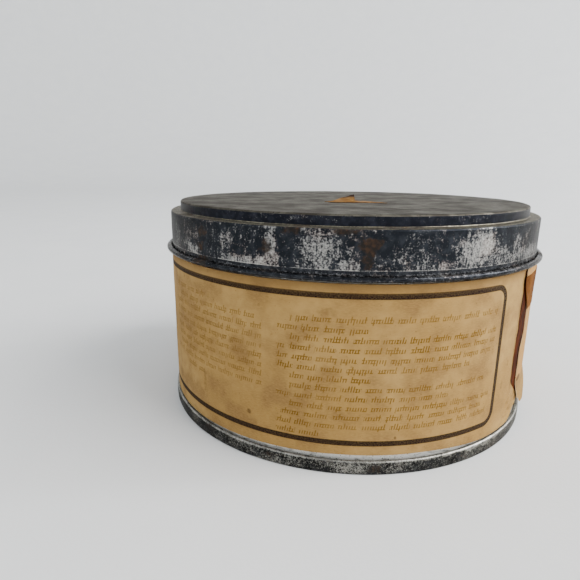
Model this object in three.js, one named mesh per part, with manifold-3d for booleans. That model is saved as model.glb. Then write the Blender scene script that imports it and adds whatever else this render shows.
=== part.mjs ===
// Round slip-lid spice tin with a wrap-around paper label.
// Millimetres, +Z up. The origin is the centre of the ring that the tin stands on.
// Angles are in degrees: 0 is the front (-Y), and they grow towards the right (+X).

import * as THREE from 'three';
import { mergeVertices } from 'three/addons/utils/BufferGeometryUtils.js';
import Module from 'manifold-3d';

const wasm = await Module();
wasm.setup();

// ---- Driving dimensions ----

const TURN_STEPS = 60; // flats round each turned piece
const BEND_STEPS = 2; // flats in a quarter bend
const CURL_STEPS = 7; // flats round a rolled rim

// tinplate body
const SHEET = 0.25; // tinplate thickness
const BODY_RADIUS = 53.3; // outside of the body wall
const RIM_HEIGHT = 56.15; // top of the body's rolled rim
const RIM_CURL = 1.25; // height and width of that inward roll

// double seam that joins the body to its bottom end
const SEAM_GAP = 0.16; // space between neighbouring folds
const SEAM_HEIGHT = 3.5;
const SEAM_FOOT_BEND = 0.35; // outer radius of the two bends at the foot
const HOOK_OVERLAP = 1.6; // length that the two hooks share
const COMPOUND_HEIGHT = 0.3; // ring of sealing compound in the cover's fold

// bottom end
const BOTTOM_RECESS = 3.6; // height of the panel's underside above the ground
const BOTTOM_BORDER = 9.8; // flat border of the panel, inside the chuck wall
const BOTTOM_STEP = 0.6; // rise of the panel's middle inside that border

// locked side seam inside the body
const LOCK_ANGLE = 61; // under the label's lap
const LOCK_WIDTH = 3.6;
const LOCK_LAYERS = 4; // folded layers of tinplate, the wall among them

// lid
const LID_FIT = 0.25; // radial clearance over the body
const LEDGE_CLEARANCE = 0.3; // above the body's rim
const LEDGE_WIDTH = 2.8; // from the skirt's outside in to the raised panel
const PANEL_RISE = 2.7; // raised panel above the ledge
const SKIRT_DEPTH = 11; // from the ledge down to the bottom of the curl
const LID_BEND = 0.55; // outer radius of the lid's drawn corners
const CURL_REACH = 1.6; // outward roll, measured from the skirt's outside
const CURL_HEIGHT = 1.36;

// paper label
const PAPER = 0.25;
const LABEL_GAP = 0.4; // loose paper stands off the body
const LABEL_FOOT_GAP = 0.55; // above the double seam
const LABEL_TOP_GAP = 0.4; // below the lid's curl
const LABEL_EDGE_ANGLE = 58.5; // free edge of the outer end
const LABEL_LAP = 7; // degrees that the ends share
const LIFT_RUN = 26; // degrees over which the outer end leaves the tin
const LIFT = 0.35; // extra lift at its free edge
const PAPER_STEP = 3; // degrees for each flat

// dried glue on the lap, and the tape over the label's free edge
const GLUE = 0.1;
const PASTE_GAP = 0.1; // between stuck layers
const GLUE_OUT = 4.5; // degrees that the glue shows in front of the free edge
const GLUE_IN = 2; // degrees that it runs under it
const GLUE_MARGIN = 2.5; // clear of the label's long edges
const TAPE = 0.12;
const TAPE_SPAN = 14; // degrees
const TAPE_SET_BACK = 0.6; // degrees behind the free edge
const TAPE_HEIGHT = 9.3;
const TAPE_DROP = 1.8; // below the label's top edge

// torn scrap of old paper stuck on the lid
const SCRAP = 0.2;
const SCRAP_GAP = 0.15;
const SCRAP_LIFT = 1.7; // height of its raised corner above its foot
const SCRAP_FRONT = -17.5; // Y of its straight edge
const SCRAP_LEFT = -6.6; // X of its pointed end
const SCRAP_BODY = 8.2; // length of its wide part along X
const SCRAP_DEPTH = 8; // of the wide part
const SCRAP_TAIL = 9; // length of the narrow tail beyond it
const SCRAP_TAIL_DEPTH = 1.6;

// ---- Sizes that follow from them ----

const fold = SHEET + SEAM_GAP; // from one seam layer's middle to the next
const bodyMiddle = BODY_RADIUS - SHEET / 2;
const skirtRadius = BODY_RADIUS + LID_FIT + SHEET;
const ledgeHeight = RIM_HEIGHT + LEDGE_CLEARANCE + SHEET;
const panelHeight = ledgeHeight + PANEL_RISE;
const panelRadius = skirtRadius - LEDGE_WIDTH;
const curlFoot = ledgeHeight - SKIRT_DEPTH;
const labelFoot = SEAM_HEIGHT + LABEL_FOOT_GAP;
const labelTop = curlFoot - LABEL_TOP_GAP;
const labelHeight = labelTop - labelFoot;
const labelRadius = BODY_RADIUS + LABEL_GAP;
const lapRise = PAPER + GLUE + 2 * PASTE_GAP + LIFT;

const group = new THREE.Group();

// ---- Shared helpers ----

const radians = THREE.MathUtils.degToRad;

/** Points of an elliptical bend from one angle to another, in degrees, in the (r, z) plane. */
function bend(r, z, width, height, from, to, steps) {
  return Array.from({ length: steps + 1 }, (_, i) => {
    const a = radians(from + ((to - from) * i) / steps);
    return new THREE.Vector2(r + (width / 2) * Math.cos(a), z + (height / 2) * Math.sin(a));
  });
}

/** A quarter bend, or a longer one, of one radius. */
function round(r, z, radius, from, to) {
  const steps = Math.round((Math.abs(to - from) / 90) * BEND_STEPS);
  return bend(r, z, 2 * radius, 2 * radius, from, to, steps);
}

/** Both faces of a bent sheet, given the line that runs along its middle. */
function sheetOutline(middle, thickness) {
  const directions = middle.slice(1).map((p, i) => p.clone().sub(middle[i]).normalize());
  const offset = (side) => middle.map((p, i) => {
    const before = directions[Math.max(i - 1, 0)];
    const after = directions[Math.min(i, directions.length - 1)];
    const along = before.clone().add(after).normalize();
    const reach = (side * thickness) / 2 / along.dot(after);
    return new THREE.Vector2(Math.max(p.x - along.y * reach, 0), p.y + along.x * reach);
  });
  return [...offset(-1), ...offset(1).reverse()];
}

/** Turns an outline in the (r, z) plane about Z; angle 0 faces the front. */
function turned(outline) {
  const onAxis = outline[0].x === 0;
  const points = onAxis ? outline : [...outline, outline[0]];
  const upwards = THREE.ShapeUtils.area(outline) > 0;
  const geometry = new THREE.LatheGeometry(upwards ? points : points.toReversed(), TURN_STEPS);
  return geometry.rotateX(Math.PI / 2);
}

/** A point in plan at an angle from the front. */
function planPoint(radius, degrees) {
  return new THREE.Vector2(radius * Math.sin(radians(degrees)), -radius * Math.cos(radians(degrees)));
}

/** An upright strip round the tin; inner(angle) is the radius of its inner face. */
function strip(inner, thickness, from, to, foot, height) {
  const steps = Math.ceil((to - from) / PAPER_STEP);
  const angles = Array.from({ length: steps + 1 }, (_, i) => from + ((to - from) * i) / steps);
  const innerFace = angles.map((a) => planPoint(inner(a), a));
  const outerFace = angles.map((a) => planPoint(inner(a) + thickness, a));
  const shape = new THREE.Shape([...outerFace, ...innerFace.reverse()]);
  const geometry = new THREE.ExtrudeGeometry(shape, { depth: height, bevelEnabled: false });
  return geometry.translate(0, 0, foot);
}

/** Adds a named piece in its own finish to a parent. */
function addPiece(parent, name, geometry, color, roughness, metalness) {
  const mesh = new THREE.Mesh(geometry, new THREE.MeshStandardMaterial({ color, roughness, metalness }));
  mesh.name = name;
  parent.add(mesh);
  return mesh;
}

/** Turns a closed geometry into a solid for joining. */
function toSolid(geometry) {
  const bare = geometry.clone();
  bare.deleteAttribute('normal');
  bare.deleteAttribute('uv');
  const merged = mergeVertices(bare, 1e-5);
  const vertProperties = new Float32Array(merged.attributes.position.array);
  const triVerts = new Uint32Array(merged.index.array);
  return new wasm.Manifold(new wasm.Mesh({ numProp: 3, vertProperties, triVerts }));
}

/** Turns a joined solid back into a geometry. */
function toGeometry(solid) {
  const mesh = solid.getMesh();
  const geometry = new THREE.BufferGeometry();
  geometry.setAttribute('position', new THREE.BufferAttribute(mesh.vertProperties, 3));
  geometry.setIndex(new THREE.BufferAttribute(mesh.triVerts, 1));
  geometry.computeVertexNormals();
  return geometry;
}

// ---- Pieces of the body ----

/** Body wall with its folded-out foot hook, rolled rim and locked side seam. */
function bodyShell() {
  const bendCentre = 1.5 * SHEET + SEAM_GAP + fold; // the bend clears the end's foot
  const hookTop = SEAM_HEIGHT - SHEET - COMPOUND_HEIGHT - 3 * SEAM_GAP;
  const roll = RIM_CURL - SHEET;
  const rollCentre = new THREE.Vector2(bodyMiddle - roll / 2, RIM_HEIGHT - RIM_CURL / 2);
  const middle = [
    new THREE.Vector2(bodyMiddle + 2 * fold, hookTop),
    ...round(bodyMiddle + fold, bendCentre, fold, 0, -180),
    ...bend(rollCentre.x, rollCentre.y, roll, roll, 0, 285, CURL_STEPS),
  ];
  const wall = toSolid(turned(sheetOutline(middle, SHEET)));

  const lockInside = BODY_RADIUS - LOCK_LAYERS * SHEET;
  const lockDepth = (LOCK_LAYERS - 0.5) * SHEET; // runs half a sheet into the wall
  const half = THREE.MathUtils.radToDeg(LOCK_WIDTH / 2 / BODY_RADIUS);
  const lockFoot = BOTTOM_RECESS + SHEET + BOTTOM_STEP;
  const lockHeight = RIM_HEIGHT - RIM_CURL - SHEET - lockFoot;
  const lock = strip(() => lockInside, lockDepth, LOCK_ANGLE - half, LOCK_ANGLE + half, lockFoot, lockHeight);
  return toGeometry(wall.add(toSolid(lock)));
}

/** Stamped bottom end: stepped panel, chuck wall, and the cover side of the double seam. */
function bottomEnd() {
  const panel = BOTTOM_RECESS + SHEET / 2;
  const chuckWall = bodyMiddle - fold;
  const stepRadius = chuckWall - BOTTOM_BORDER;
  const outerWall = bodyMiddle + 3 * fold;
  const footBend = SEAM_FOOT_BEND - SHEET / 2;
  const foot = SEAM_FOOT_BEND;
  const topBend = SEAM_HEIGHT - SHEET / 2 - fold / 2;
  const hookFoot = Math.max(3 * SHEET + 2 * SEAM_GAP, SEAM_HEIGHT - 2 * fold - HOOK_OVERLAP);
  const middle = [
    new THREE.Vector2(0, panel + BOTTOM_STEP),
    new THREE.Vector2(stepRadius - BOTTOM_STEP, panel + BOTTOM_STEP),
    new THREE.Vector2(stepRadius, panel),
    ...round(chuckWall - footBend, panel - footBend, footBend, 90, 0),
    ...round(chuckWall + footBend, foot, footBend, 180, 270),
    ...round(outerWall - footBend, foot, footBend, 270, 360),
    ...round(outerWall - fold, topBend - fold / 2, fold, 0, 180),
    new THREE.Vector2(outerWall - 2 * fold, hookFoot),
  ];
  return turned(sheetOutline(middle, SHEET));
}

/** Ring of sealing compound between the tip of the body hook and the cover's fold. */
function seamCompound() {
  const inside = bodyMiddle + 2 * fold - SHEET / 2;
  const top = SEAM_HEIGHT - SHEET - 2 * SEAM_GAP;
  return turned([
    new THREE.Vector2(inside, top - COMPOUND_HEIGHT),
    new THREE.Vector2(inside + SHEET, top - COMPOUND_HEIGHT),
    new THREE.Vector2(inside + SHEET, top),
    new THREE.Vector2(inside, top),
  ]);
}

// ---- Lid ----

/** Drawn lid: raised panel, ledge, skirt and outward-rolled edge. */
function lidShell() {
  const skirt = skirtRadius - SHEET / 2;
  const step = panelRadius - SHEET / 2;
  const corner = LID_BEND - SHEET / 2;
  const rollCentre = curlFoot + CURL_HEIGHT / 2;
  const middle = [
    new THREE.Vector2(0, panelHeight - SHEET / 2),
    ...round(panelRadius - LID_BEND, panelHeight - LID_BEND, corner, 90, 0),
    ...round(step + corner, ledgeHeight - SHEET / 2 + corner, corner, 180, 270),
    ...round(skirtRadius - LID_BEND, ledgeHeight - LID_BEND, corner, 90, 0),
    ...bend(skirt + CURL_REACH / 2, rollCentre, CURL_REACH, CURL_HEIGHT - SHEET, 180, 470, CURL_STEPS),
  ];
  return turned(sheetOutline(middle, SHEET));
}

/** Torn scrap of paper: a wide piece with one raised corner, and a narrow tail. */
function lidScrap() {
  const back = SCRAP_FRONT + SCRAP_DEPTH;
  const wideEnd = SCRAP_LEFT + SCRAP_BODY;
  const outline = new THREE.Shape([
    new THREE.Vector2(SCRAP_LEFT, SCRAP_FRONT + SCRAP_TAIL_DEPTH),
    new THREE.Vector2(SCRAP_LEFT + SCRAP_BODY / 4, SCRAP_FRONT),
    new THREE.Vector2(wideEnd, SCRAP_FRONT),
    new THREE.Vector2(wideEnd + SCRAP_TAIL, SCRAP_FRONT + SCRAP_TAIL_DEPTH / 4),
    new THREE.Vector2(wideEnd, SCRAP_FRONT + SCRAP_TAIL_DEPTH),
    new THREE.Vector2(wideEnd, back),
    new THREE.Vector2(wideEnd - SCRAP_BODY / 3, back - SCRAP_DEPTH / 6),
  ]);
  const geometry = new THREE.ExtrudeGeometry(outline, { depth: SCRAP, bevelEnabled: false });
  const place = geometry.attributes.position;
  for (let i = 0; i < place.count; i += 1) {
    const along = THREE.MathUtils.clamp((place.getX(i) - SCRAP_LEFT) / SCRAP_BODY, 0, 1);
    const across = (place.getY(i) - SCRAP_FRONT) / SCRAP_DEPTH;
    place.setZ(i, place.getZ(i) + SCRAP_LIFT * along * across);
  }
  return geometry.translate(0, 0, panelHeight + SCRAP_GAP);
}

// ---- Label and what is stuck to it ----

/** Radius of the label's inner face; its outer end rises over the inner one and lifts. */
function labelInner(angle) {
  const away = THREE.MathUtils.smoothstep(angle, LABEL_EDGE_ANGLE, LABEL_EDGE_ANGLE + LIFT_RUN);
  return labelRadius + lapRise * (1 - away);
}

/** Paper label: starts at its free outer edge, goes once round, and ends under itself. */
function wrapLabel() {
  const innerEnd = 360 + LABEL_EDGE_ANGLE + LABEL_LAP;
  return strip(labelInner, PAPER, LABEL_EDGE_ANGLE, innerEnd, labelFoot, labelHeight);
}

/** Dried glue on the lap. */
function lapGlue() {
  const foot = labelFoot + GLUE_MARGIN;
  const inner = () => labelRadius + PAPER + PASTE_GAP;
  const from = LABEL_EDGE_ANGLE - GLUE_OUT;
  return strip(inner, GLUE, from, LABEL_EDGE_ANGLE + GLUE_IN, foot, labelHeight - 2 * GLUE_MARGIN);
}

/** Piece of old tape on the label's outer end. */
function labelTape() {
  const foot = labelTop - TAPE_DROP - TAPE_HEIGHT;
  const inner = (angle) => labelInner(angle) + PAPER + PASTE_GAP;
  const from = LABEL_EDGE_ANGLE + TAPE_SET_BACK;
  return strip(inner, TAPE, from, from + TAPE_SPAN, foot, TAPE_HEIGHT);
}

// ---- Assembly ----

addPiece(group, 'body_shell', bodyShell(), 0xb4b2ac, 0.42, 0.9);
addPiece(group, 'bottom_end', bottomEnd(), 0x4c4a48, 0.5, 0.85);
addPiece(group, 'seam_compound', seamCompound(), 0x77705f, 0.8, 0);
addPiece(group, 'wrap_label', wrapLabel(), 0xc2a172, 0.85, 0);
addPiece(group, 'lap_glue', lapGlue(), 0x542a0b, 0.5, 0);
addPiece(group, 'label_tape', labelTape(), 0x94651b, 0.35, 0);

const lidGroup = new THREE.Group();
group.add(lidGroup);
addPiece(lidGroup, 'lid', lidShell(), 0x6a6a68, 0.45, 0.85);
addPiece(lidGroup, 'lid_scrap', lidScrap(), 0xa9772c, 0.7, 0);

export default group;
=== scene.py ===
"""Looks of a round slip-lid spice tin: oxidised tinplate, an aged paper label, old glue and tape.

Lengths are in millimetres until a piece is finished, and in metres after that.
Angles are in degrees round the tin: 0 is the front (-Y), and they grow towards the right (+X).
"""

import logging
import math
from dataclasses import dataclass, field
from enum import Enum, IntEnum
from typing import Callable, Mapping, Sequence

import bmesh
import bpy
from mathutils import Matrix, Vector, noise


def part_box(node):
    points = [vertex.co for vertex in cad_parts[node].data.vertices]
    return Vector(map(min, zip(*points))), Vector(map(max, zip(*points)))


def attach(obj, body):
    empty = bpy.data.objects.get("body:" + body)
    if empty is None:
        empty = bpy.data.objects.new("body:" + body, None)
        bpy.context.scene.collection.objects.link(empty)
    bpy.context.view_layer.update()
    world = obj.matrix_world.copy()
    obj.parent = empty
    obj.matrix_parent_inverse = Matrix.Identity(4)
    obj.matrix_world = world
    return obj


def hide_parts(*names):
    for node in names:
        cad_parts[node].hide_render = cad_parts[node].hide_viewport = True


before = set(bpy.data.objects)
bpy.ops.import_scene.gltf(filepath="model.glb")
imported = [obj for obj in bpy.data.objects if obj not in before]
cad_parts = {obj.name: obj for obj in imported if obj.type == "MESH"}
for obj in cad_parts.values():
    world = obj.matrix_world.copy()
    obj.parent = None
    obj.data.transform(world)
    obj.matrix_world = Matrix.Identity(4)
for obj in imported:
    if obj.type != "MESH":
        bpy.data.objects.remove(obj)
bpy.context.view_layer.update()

MM = 0.001
PRINT_PLACE = "print_place"  # attribute that holds a label's flat place

Socket = bpy.types.NodeSocket
Mesh = bmesh.types.BMesh

log = logging.getLogger("tin")


class Body(Enum):
    """The rigid bodies that pieces ride on."""

    TIN = "tin"
    LID = "lid"


class Slot(Enum):
    """The record's material slots."""

    BODY = "body_tinplate"
    SEAM = "seam_tinplate"
    COMPOUND = "sealing_compound"
    LABEL = "label_paper"
    GLUE = "dried_glue"
    TAPE = "old_tape"
    LID = "lid_tinplate"
    SCRAP = "scrap_paper"


# ---- Sizes ----


def extent(node: str) -> tuple[Vector, Vector]:
    """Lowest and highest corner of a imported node, in millimetres."""
    low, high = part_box(node)
    return low / MM, high / MM


@dataclass(frozen=True)
class TinSizes:
    """Main sizes of the tin, in millimetres."""

    sheet: float = 0.25
    fold: float = 0.41  # from one seam layer's middle to the next
    lid_fit: float = 0.25
    compound_top: float = field(default_factory=lambda: extent("seam_compound")[1].z)
    seam_radius: float = field(default_factory=lambda: extent("bottom_end")[1].x)
    rim_height: float = field(default_factory=lambda: extent("body_shell")[1].z)
    label_foot: float = field(default_factory=lambda: extent("wrap_label")[0].z)
    label_top: float = field(default_factory=lambda: extent("wrap_label")[1].z)
    curl_foot: float = field(default_factory=lambda: extent("lid")[0].z)
    panel_height: float = field(default_factory=lambda: extent("lid")[1].z)

    @property
    def seam_height(self) -> float:
        """Top of the double seam, two gaps and a sheet above the compound in its fold."""
        return self.compound_top + self.sheet + 2 * (self.fold - self.sheet)

    @property
    def body_radius(self) -> float:
        """Outside of the body wall."""
        return self.seam_radius - 3 * self.fold

    @property
    def body_middle(self) -> float:
        """Middle of the body wall's thickness."""
        return self.body_radius - self.sheet / 2

    @property
    def skirt_radius(self) -> float:
        """Outside of the lid's skirt."""
        return self.body_radius + self.lid_fit + self.sheet

    @property
    def ledge_height(self) -> float:
        """Top of the ledge round the lid's raised panel."""
        return self.panel_height - 2.7

    @property
    def panel_radius(self) -> float:
        """Outside of the step up to the lid's raised panel."""
        return self.skirt_radius - 2.8


# ---- Shared shaping ----


def ease(low: float, high: float, value: float) -> float:
    """Smooth step from 0 at low to 1 at high."""
    t = min(max((value - low) / (high - low), 0.0), 1.0)
    return t * t * (3 - 2 * t)


def uneven(x: float, y: float, z: float, size: float, seed: float = 0.0) -> float:
    """Smooth unevenness from about -1 to 1, with lumps of one size."""
    return noise.noise(Vector((x, y, z)) / size + Vector((seed, seed * 1.7, seed * 0.3)))


def around(radius: float, angle: float, height: float) -> Vector:
    """The point at an angle from the front, a radius from the axis and a height."""
    turn = math.radians(angle)
    return Vector((radius * math.sin(turn), -radius * math.cos(turn), height))


def bend(
    centre: tuple[float, float],
    size: tuple[float, float],
    start: float,
    end: float,
    step: float = 15.0,
) -> list[Vector]:
    """Points of a rounded bend in the (radius, height) plane.

    Args:
        centre: the bend's middle.
        size: its half width and half height.
        start: first angle in degrees, 0 pointing outwards and 90 up.
        end: last angle.
        step: degrees between points.

    Returns:
        The points in order.
    """
    count = max(1, round(abs(end - start) / step))
    turns = [math.radians(start + (end - start) * i / count) for i in range(count + 1)]
    return [
        Vector((centre[0] + size[0] * math.cos(t), centre[1] + size[1] * math.sin(t)))
        for t in turns
    ]


def even_steps(line: Sequence[Vector], longest: float) -> list[Vector]:
    """The same line with its long stretches cut into shorter ones."""
    made = [line[0]]
    for before, after in zip(line, line[1:]):
        count = max(1, math.ceil((after - before).length / longest))
        made += [before.lerp(after, (i + 1) / count) for i in range(count)]
    return made


def sheet_outline(middle: Sequence[Vector], thickness: float) -> list[Vector]:
    """Closed outline of a bent sheet, from the line along the middle of its thickness."""
    runs = [(b - a).normalized() for a, b in zip(middle, middle[1:])]

    def face(side: float) -> list[Vector]:
        """One face of the sheet."""
        points = []
        for i, point in enumerate(middle):
            after = runs[min(i, len(runs) - 1)]
            along = (runs[max(i - 1, 0)] + after).normalized()
            reach = side * thickness / 2 / along.dot(after)
            points.append(
                Vector((max(point.x - along.y * reach, 0.0), point.y + along.x * reach))
            )
        return points

    return face(-1) + face(1)[::-1]


def turned(outline: Sequence[Vector], steps: int) -> Mesh:
    """Spins a closed outline once round the tin's axis.

    Args:
        outline: points in the (radius, height) plane. A side that lies on the axis stays open.
        steps: flats round the piece.

    Returns:
        A closed mesh whose faces point outwards.
    """
    bm = bmesh.new()
    verts = [bm.verts.new((0, -point.x, point.y)) for point in outline]
    sides = zip(verts, verts[1:] + verts[:1])
    edges = [bm.edges.new(side) for side in sides if any(abs(v.co.y) > 1e-6 for v in side)]
    bmesh.ops.spin(
        bm,
        geom=verts + edges,
        cent=(0, 0, 0),
        axis=(0, 0, 1),
        angle=math.tau,
        steps=steps,
        use_merge=True,
    )
    bmesh.ops.remove_doubles(bm, verts=bm.verts, dist=0.004)
    bmesh.ops.recalc_face_normals(bm, faces=bm.faces)
    return bm


def outward(face: bmesh.types.BMFace) -> Vector:
    """How far a face points outwards and up, as a vector (outwards, up)."""
    centre = face.calc_center_median()
    radial = Vector((centre.x, centre.y, 0)).normalized()
    return Vector((face.normal.dot(radial), face.normal.z))


class Zone(IntEnum):
    """Material places on a thin sheet."""

    FACE = 0
    BACK = 1


def thin_sheet(
    cells: tuple[int, int],
    place: Callable[[float, float], Vector],
    thickness: float,
    print_place: Callable[[float, float], Vector] | None = None,
) -> Mesh:
    """A grid bent into place, with its thickness on the side away from its face.

    Args:
        cells: grid cells across and up.
        place: gives the place of the grid's point (across, up), each from 0 to 1.
        thickness: of the sheet.
        print_place: gives the flat place where the point's print is looked up.

    Returns:
        A closed mesh with Zone.FACE outside and Zone.BACK on its back and edges.
    """
    bm = bmesh.new()
    bmesh.ops.create_grid(bm, x_segments=cells[0], y_segments=cells[1], size=0.5)
    flat = bm.verts.layers.float_vector.new(PRINT_PLACE) if print_place else None
    for vert in bm.verts:
        across, up = vert.co.x + 0.5, vert.co.y + 0.5
        if print_place:
            vert[flat] = print_place(across, up)
        vert.co = place(across, up)
    bm.normal_update()
    if sum(sum(outward(face)) for face in bm.faces) < 0:
        bmesh.ops.reverse_faces(bm, faces=bm.faces)
    face_side = set(bm.faces)
    bmesh.ops.solidify(bm, geom=list(face_side), thickness=thickness)
    for face in bm.faces:
        face.material_index = Zone.FACE if face in face_side else Zone.BACK
    return bm


def finish_piece(
    bm: Mesh,
    name: str,
    body: Body,
    slot: Slot,
    finishes: Sequence[bpy.types.Material],
    replaces: Sequence[str],
    crease: float = 38.0,
) -> bpy.types.Object:
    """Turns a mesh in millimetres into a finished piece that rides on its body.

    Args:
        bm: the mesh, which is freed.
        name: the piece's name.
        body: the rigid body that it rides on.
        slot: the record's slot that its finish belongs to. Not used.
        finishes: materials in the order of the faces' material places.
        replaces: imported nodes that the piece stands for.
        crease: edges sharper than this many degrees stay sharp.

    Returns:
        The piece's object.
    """
    bmesh.ops.scale(bm, vec=(MM, MM, MM), verts=bm.verts)
    bm.normal_update()
    for face in bm.faces:
        face.smooth = True
    for edge in bm.edges:
        edge.smooth = edge.calc_face_angle(0.0) < math.radians(crease)
    mesh = bpy.data.meshes.new(name)
    bm.to_mesh(mesh)
    bm.free()
    for finish in finishes:
        mesh.materials.append(finish)
    piece = bpy.data.objects.new(name, mesh)
    bpy.context.scene.collection.objects.link(piece)
    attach(piece, body.value)
    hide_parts(*replaces)
    log.info("%s: %d faces on %s, in place of %s", name, len(mesh.polygons), body.value, replaces)
    return piece


# ---- Writing down materials ----


def linear(colour: str) -> tuple[float, float, float, float]:
    """Linear colour of an sRGB hex value such as "#7c7a72"."""
    parts = [int(colour[i : i + 2], 16) / 255 for i in (1, 3, 5)]
    red, green, blue = (p / 12.92 if p <= 0.04045 else ((p + 0.055) / 1.055) ** 2.4 for p in parts)
    return red, green, blue, 1.0


class Recipe:
    """The node tree of one material while it is written down."""

    def __init__(self, name: str) -> None:
        """Starts an empty material with this name."""
        self.material = bpy.data.materials.new(name)
        self.material.use_nodes = True
        self.material.node_tree.nodes.clear()
        coordinates = self.add("TexCoord", {}, out="Object")
        self.place = self.add("VectorMath", {0: coordinates, "Scale": 1 / MM}, operation="SCALE")

    def add(
        self,
        kind: str,
        inputs: Mapping[int | str, object],
        out: int | str = 0,
        stops: Sequence[tuple[float, Sequence[float]]] = (),
        **settings: object,
    ) -> Socket:
        """Adds a node with its settings and links.

        Args:
            kind: the node's type, without "ShaderNode".
            inputs: sockets to link, or values to set, by input name or number.
            out: the output that is handed back.
            stops: places and colours of a colour ramp.
            settings: the node's own settings.

        Returns:
            The chosen output.
        """
        tree = self.material.node_tree
        node = tree.nodes.new("ShaderNode" + kind)
        for key, value in settings.items():
            setattr(node, key, value)
        for key, value in inputs.items():
            if isinstance(value, Socket):
                tree.links.new(value, node.inputs[key])
            else:
                node.inputs[key].default_value = value
        if stops:
            ramp = node.color_ramp
            ramp.interpolation = "CONSTANT"
            for i, (position, colour) in enumerate(stops):
                stop = ramp.elements[i] if i < 2 else ramp.elements.new(position)
                stop.position, stop.color = position, (*colour, 1.0)
        return node.outputs[out] if node.outputs else None

    def round_place(self, radius: float) -> Socket:
        """Place on the tin's side: millimetres along the arc from the front, and height."""
        apart = self.add("SeparateXYZ", {0: self.place})
        node = apart.node
        back = self.add("Math", {0: node.outputs[1], 1: -1.0}, operation="MULTIPLY")
        turn = self.add("Math", {0: node.outputs[0], 1: back}, operation="ARCTAN2")
        arc = self.add("Math", {0: turn, 1: radius}, operation="MULTIPLY")
        return self.add("CombineXYZ", {0: arc, 1: node.outputs[2]})

    def total(self, parts: Sequence[tuple[Socket, float]], start: float = 0.0) -> Socket:
        """Weighted sum of some patterns."""
        sum_so_far: Socket | float = start
        for value, weight in parts:
            sum_so_far = self.add(
                "Math", {0: value, 1: weight, 2: sum_so_far}, operation="MULTIPLY_ADD"
            )
        return sum_so_far

    def coats(self, base: Socket | Sequence[float], layers: Sequence[tuple[str, Socket]]) -> Socket:
        """Colours laid over a base one by one, each where its mask says."""
        colour = base
        for hex_value, mask in layers:
            colour = self.add(
                "Mix", {0: mask, 6: colour, 7: linear(hex_value)}, out=2, data_type="RGBA"
            )
        return colour

    def surface(
        self, height: Socket | None, relief: float, shine: Mapping[int | str, object]
    ) -> bpy.types.Material:
        """Closes the recipe with its shader.

        Args:
            height: pattern that raises the surface, or None.
            relief: height in millimetres that the pattern's whole range stands for.
            shine: inputs of the Principled shader.

        Returns:
            The material.
        """
        inputs = dict(shine)
        if height is not None:
            inputs["Normal"] = self.add("Bump", {"Height": height, "Distance": relief * MM})
        shader = self.add("BsdfPrincipled", inputs)
        self.add("OutputMaterial", {"Surface": shader})
        return self.material


@dataclass(frozen=True)
class Grain:
    """An uneven natural pattern with features of one size."""

    size: float
    stretch: tuple[float, float, float] = (1.0, 1.0, 1.0)
    detail: float = 2.0
    shift: float = 0.0

    def value(self, recipe: Recipe, place: Socket | None = None) -> Socket:
        """The pattern, mostly from 0.3 to 0.7."""
        scale = [1 / (self.size * along) for along in self.stretch]
        placed = recipe.add(
            "VectorMath",
            {0: place or recipe.place, 1: scale, 2: [self.shift] * 3},
            operation="MULTIPLY_ADD",
        )
        return recipe.add("TexNoise", {"Vector": placed, "Scale": 1.0, "Detail": self.detail})

    def cut(self, recipe: Recipe, low: float, high: float, place: Socket | None = None) -> Socket:
        """The pattern cut to a mask: 0 below one level and 1 above another."""
        return recipe.add(
            "MapRange",
            {0: self.value(recipe, place), 1: low, 2: high},
            interpolation_type="SMOOTHSTEP",
        )


@dataclass(frozen=True)
class Patch:
    """A worn, stained or rusty place, with soft edges."""

    across: float  # degrees round the tin, or X on the lid's top
    up: float  # height, or Y on the lid's top
    half_width: float
    half_height: float
    strength: float = 1.0


def patch_mask(
    recipe: Recipe, place: Socket, patches: Sequence[Patch], scale: float = 1.0
) -> Socket:
    """Mask of some patches: their strength in the middle, fading out past their edge.

    Args:
        recipe: the material.
        place: flat place that the patches are drawn on.
        patches: the patches.
        scale: millimetres in one unit of Patch.across.

    Returns:
        The mask.
    """
    mask: Socket | float = 0.0
    for patch in patches:
        centre = (patch.across * scale, patch.up, 0)
        size = (patch.half_width, patch.half_height, 1)
        offset = recipe.add("VectorMath", {0: place, 1: centre}, operation="SUBTRACT")
        shrunk = recipe.add("VectorMath", {0: offset, 1: size}, operation="DIVIDE")
        reach = recipe.add("VectorMath", {0: shrunk}, out=1, operation="LENGTH")
        faded = recipe.add("MapRange", {0: reach, 1: 1.35, 2: 0.55, 4: patch.strength})
        mask = recipe.add("Math", {0: faded, 1: mask}, operation="MAXIMUM")
    return mask


# ---- Finishes ----


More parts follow.
